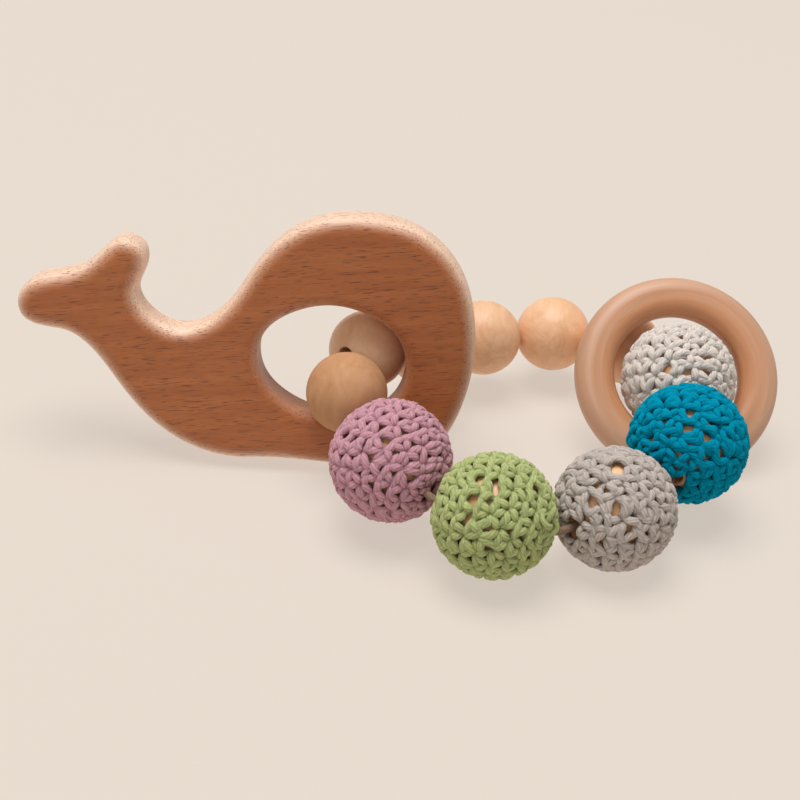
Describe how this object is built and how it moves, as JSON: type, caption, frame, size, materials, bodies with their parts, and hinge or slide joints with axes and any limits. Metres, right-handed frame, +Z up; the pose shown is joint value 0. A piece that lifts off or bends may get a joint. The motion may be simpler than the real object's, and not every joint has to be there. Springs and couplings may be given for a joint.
{
  "type": "teething ring",
  "caption": "Flat whale-shaped wooden teether and a wooden ring threaded on a closed string of plain round wooden beads and crochet-covered beads.",
  "frame": {"origin": "centre of the bounding box at the level of the surface that it rests on", "axes": "+X from the whale's tail along the object towards the wooden ring, -Y the front that shows the whale's face, +Z up"},
  "size_m": [0.1541, 0.0921, 0.0505],
  "materials": {
    "whale_wood": "sanded and oiled beech",
    "ring_wood": "smooth turned beech",
    "bead_wood": "smooth turned light wood",
    "core_wood": "plain turned wood",
    "string": "braided cotton string",
    "cream_yarn": "crocheted cotton yarn",
    "blue_yarn": "crocheted cotton yarn",
    "grey_yarn": "crocheted cotton yarn",
    "green_yarn": "crocheted cotton yarn",
    "mauve_yarn": "crocheted cotton yarn"
  },
  "bodies": {
    "string": {"cord": "string"},
    "whale": {"whale_body": "whale_wood"},
    "ring": {"wooden_ring": "ring_wood"},
    "plain_bead_front": {"plain_bead_front": "bead_wood"},
    "plain_bead_rear": {"plain_bead_rear": "bead_wood"},
    "plain_bead_hidden": {"plain_bead_hidden": "bead_wood"},
    "plain_bead_back_left": {"plain_bead_back_left": "bead_wood"},
    "plain_bead_back_right": {"plain_bead_back_right": "bead_wood"},
    "plain_bead_by_ring": {"plain_bead_by_ring": "bead_wood"},
    "cream_bead": {"cream_cover": "cream_yarn", "cream_core": "core_wood"},
    "blue_bead": {"blue_cover": "blue_yarn", "blue_core": "core_wood"},
    "grey_bead": {"grey_cover": "grey_yarn", "grey_core": "core_wood"},
    "green_bead": {"green_cover": "green_yarn", "green_core": "core_wood"},
    "mauve_bead": {"mauve_cover": "mauve_yarn", "mauve_core": "core_wood"}
  },
  "joints": [
    {"name": "whale_swing", "type": "hinge", "parent": "string", "child": "whale", "pos_m": [-0.00931, 0.00396, 0.0195], "axis": [0.2075, 0.9763, 0.0614], "range_deg": [-150, 140]},
    {"name": "ring_turn", "type": "hinge", "parent": "string", "child": "ring", "pos_m": [0.05606, 0.00193, 0.01625], "axis": [-0.0174, -0.9996, -0.0211], "range_deg": [-140, 5]},
    {"name": "plain_front_spin", "type": "hinge", "parent": "string", "child": "plain_bead_front", "pos_m": [-0.011, -0.004, 0.019], "axis": [-0.2002, 0.9304, 0.3072], "continuous": true},
    {"name": "plain_rear_spin", "type": "hinge", "parent": "string", "child": "plain_bead_rear", "pos_m": [-0.00762, 0.01191, 0.02], "axis": [0.5711, 0.7926, -0.2137], "continuous": true},
    {"name": "plain_hidden_spin", "type": "hinge", "parent": "string", "child": "plain_bead_hidden", "pos_m": [0.00365, 0.0228, 0.0155], "axis": [0.7824, 0.5544, -0.2839], "continuous": true},
    {"name": "plain_back_left_spin", "type": "hinge", "parent": "string", "child": "plain_bead_back_left", "pos_m": [0.01652, 0.03249, 0.013], "axis": [0.7829, 0.6175, -0.0759], "continuous": true},
    {"name": "plain_back_right_spin", "type": "hinge", "parent": "string", "child": "plain_bead_back_right", "pos_m": [0.0318, 0.03805, 0.012], "axis": [0.9992, -0.0389, 0.0098], "continuous": true},
    {"name": "plain_by_ring_spin", "type": "hinge", "parent": "string", "child": "plain_bead_by_ring", "pos_m": [0.04634, 0.03096, 0.014], "axis": [0.6956, -0.6979, 0.1702], "continuous": true},
    {"name": "cream_spin", "type": "hinge", "parent": "string", "child": "cream_bead", "pos_m": [0.05627, 0.01378, 0.0165], "axis": [0.3102, -0.9438, 0.1141], "continuous": true},
    {"name": "blue_spin", "type": "hinge", "parent": "string", "child": "blue_bead", "pos_m": [0.05585, -0.00991, 0.016], "axis": [-0.3706, -0.9051, -0.2085], "continuous": true},
    {"name": "grey_spin", "type": "hinge", "parent": "string", "child": "grey_bead", "pos_m": [0.04086, -0.02778, 0.0118], "axis": [-0.813, -0.5775, -0.0742], "continuous": true},
    {"name": "green_spin", "type": "hinge", "parent": "string", "child": "green_bead", "pos_m": [0.01811, -0.03431, 0.013], "axis": [-0.9781, 0.1694, 0.1209], "continuous": true},
    {"name": "mauve_spin", "type": "hinge", "parent": "string", "child": "mauve_bead", "pos_m": [-0.00147, -0.0211, 0.015], "axis": [-0.6205, 0.7789, 0.0915], "continuous": true}
  ]
}
